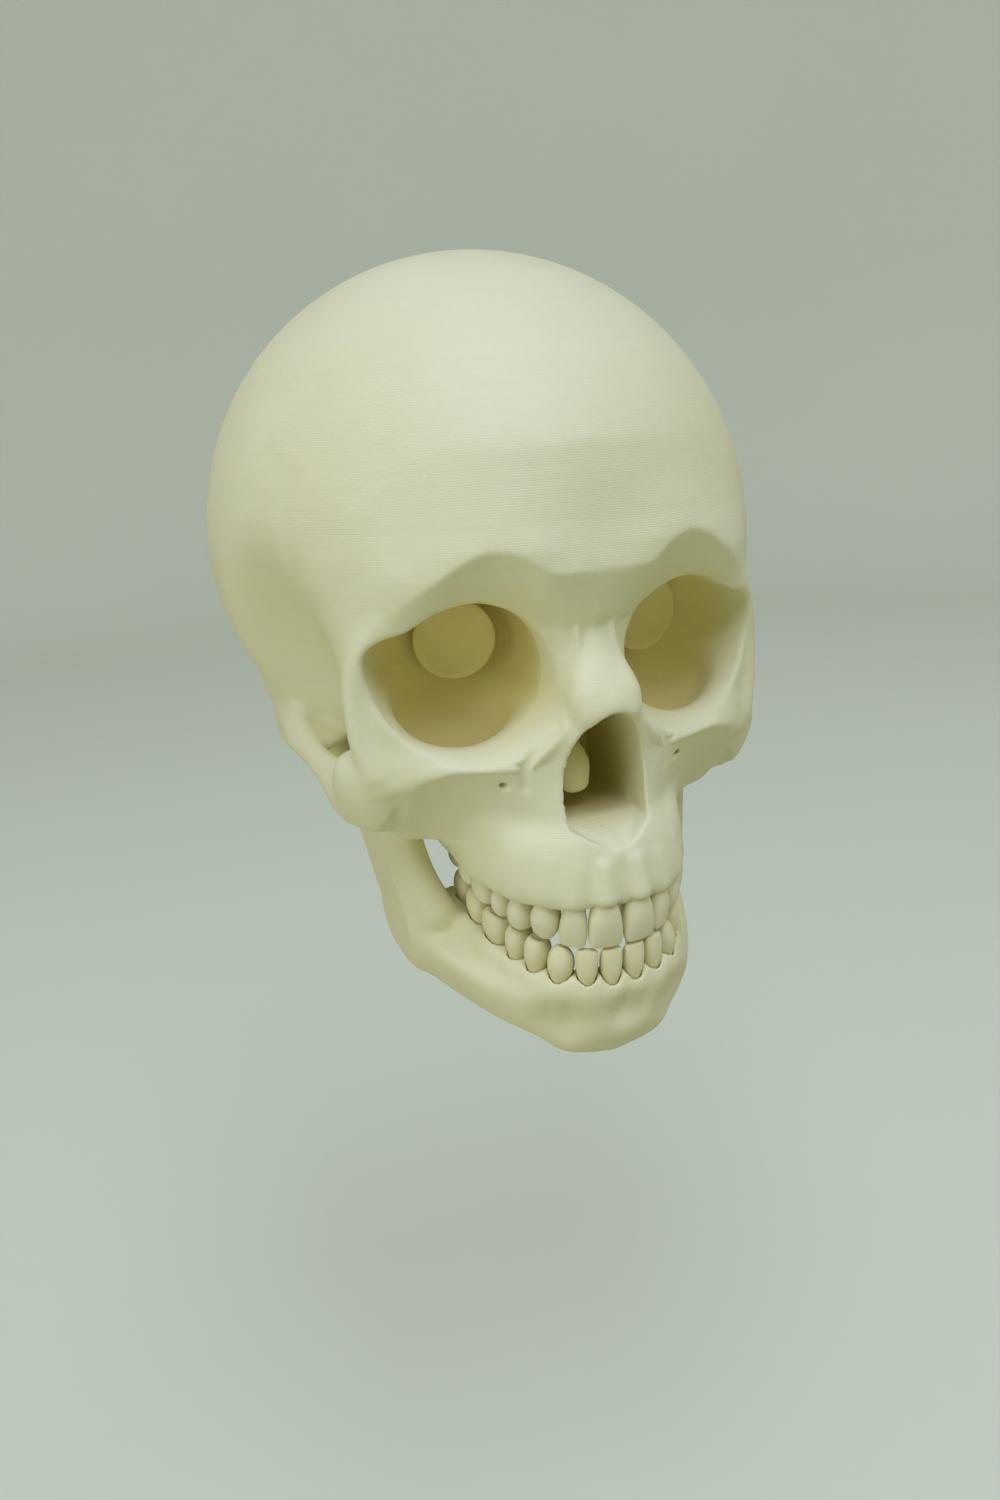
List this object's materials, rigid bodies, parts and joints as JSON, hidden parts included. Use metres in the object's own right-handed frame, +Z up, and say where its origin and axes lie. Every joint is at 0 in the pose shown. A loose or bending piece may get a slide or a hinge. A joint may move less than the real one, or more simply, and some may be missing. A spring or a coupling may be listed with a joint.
{
  "type": "skull model",
  "caption": "Life-size printed teaching skull in ivory plastic, with set teeth, a sprung hinged jaw and a socket under its base for a stand.",
  "frame": {"origin": "centre of the flat blind end of the stand socket's bore, where the stand's spigot bears", "axes": "+Z up, against the way the blind end faces; -Y towards the face; +X the skull's left"},
  "size_m": [0.146, 0.1936, 0.2063],
  "materials": {
    "bone": "satin, fine print layers",
    "tooth": "satin",
    "socket": "satin black",
    "steel": "plain wire"
  },
  "bodies": {
    "skull": {"cranium": "bone", "stand_socket": "socket", "orbit_plug_right": "bone", "orbit_plug_left": "bone", "upper_right_central_incisor": "tooth", "upper_right_lateral_incisor": "tooth", "upper_right_canine": "tooth", "upper_right_first_premolar": "tooth", "upper_right_second_premolar": "tooth", "upper_right_first_molar": "tooth", "upper_right_second_molar": "tooth", "upper_right_third_molar": "tooth", "upper_left_central_incisor": "tooth", "upper_left_lateral_incisor": "tooth", "upper_left_canine": "tooth", "upper_left_first_premolar": "tooth", "upper_left_second_premolar": "tooth", "upper_left_first_molar": "tooth", "upper_left_second_molar": "tooth", "upper_left_third_molar": "tooth", "socket_screw_1": "steel", "socket_screw_2": "steel", "socket_screw_3": "steel", "upper_screw_eye_right": "steel", "jaw_spring_right": "steel", "upper_screw_eye_left": "steel", "jaw_spring_left": "steel"},
    "jaw": {"mandible": "bone", "lower_right_central_incisor": "tooth", "lower_right_lateral_incisor": "tooth", "lower_right_canine": "tooth", "lower_right_first_premolar": "tooth", "lower_right_second_premolar": "tooth", "lower_right_first_molar": "tooth", "lower_right_second_molar": "tooth", "lower_right_third_molar": "tooth", "lower_left_central_incisor": "tooth", "lower_left_lateral_incisor": "tooth", "lower_left_canine": "tooth", "lower_left_first_premolar": "tooth", "lower_left_second_premolar": "tooth", "lower_left_first_molar": "tooth", "lower_left_second_molar": "tooth", "lower_left_third_molar": "tooth", "lower_screw_eye_right": "steel", "lower_screw_eye_left": "steel"}
  },
  "joints": [
    {"name": "jaw_hinge", "type": "hinge", "parent": "skull", "child": "jaw", "pos_m": [0, -0.02208, -0.004], "axis": [1, 0, 0], "range_deg": [0, 25], "stiffness_Nm_per_rad": 0.3, "springref_deg": -28.65, "deforming": ["jaw_spring_right", "jaw_spring_left"]}
  ]
}
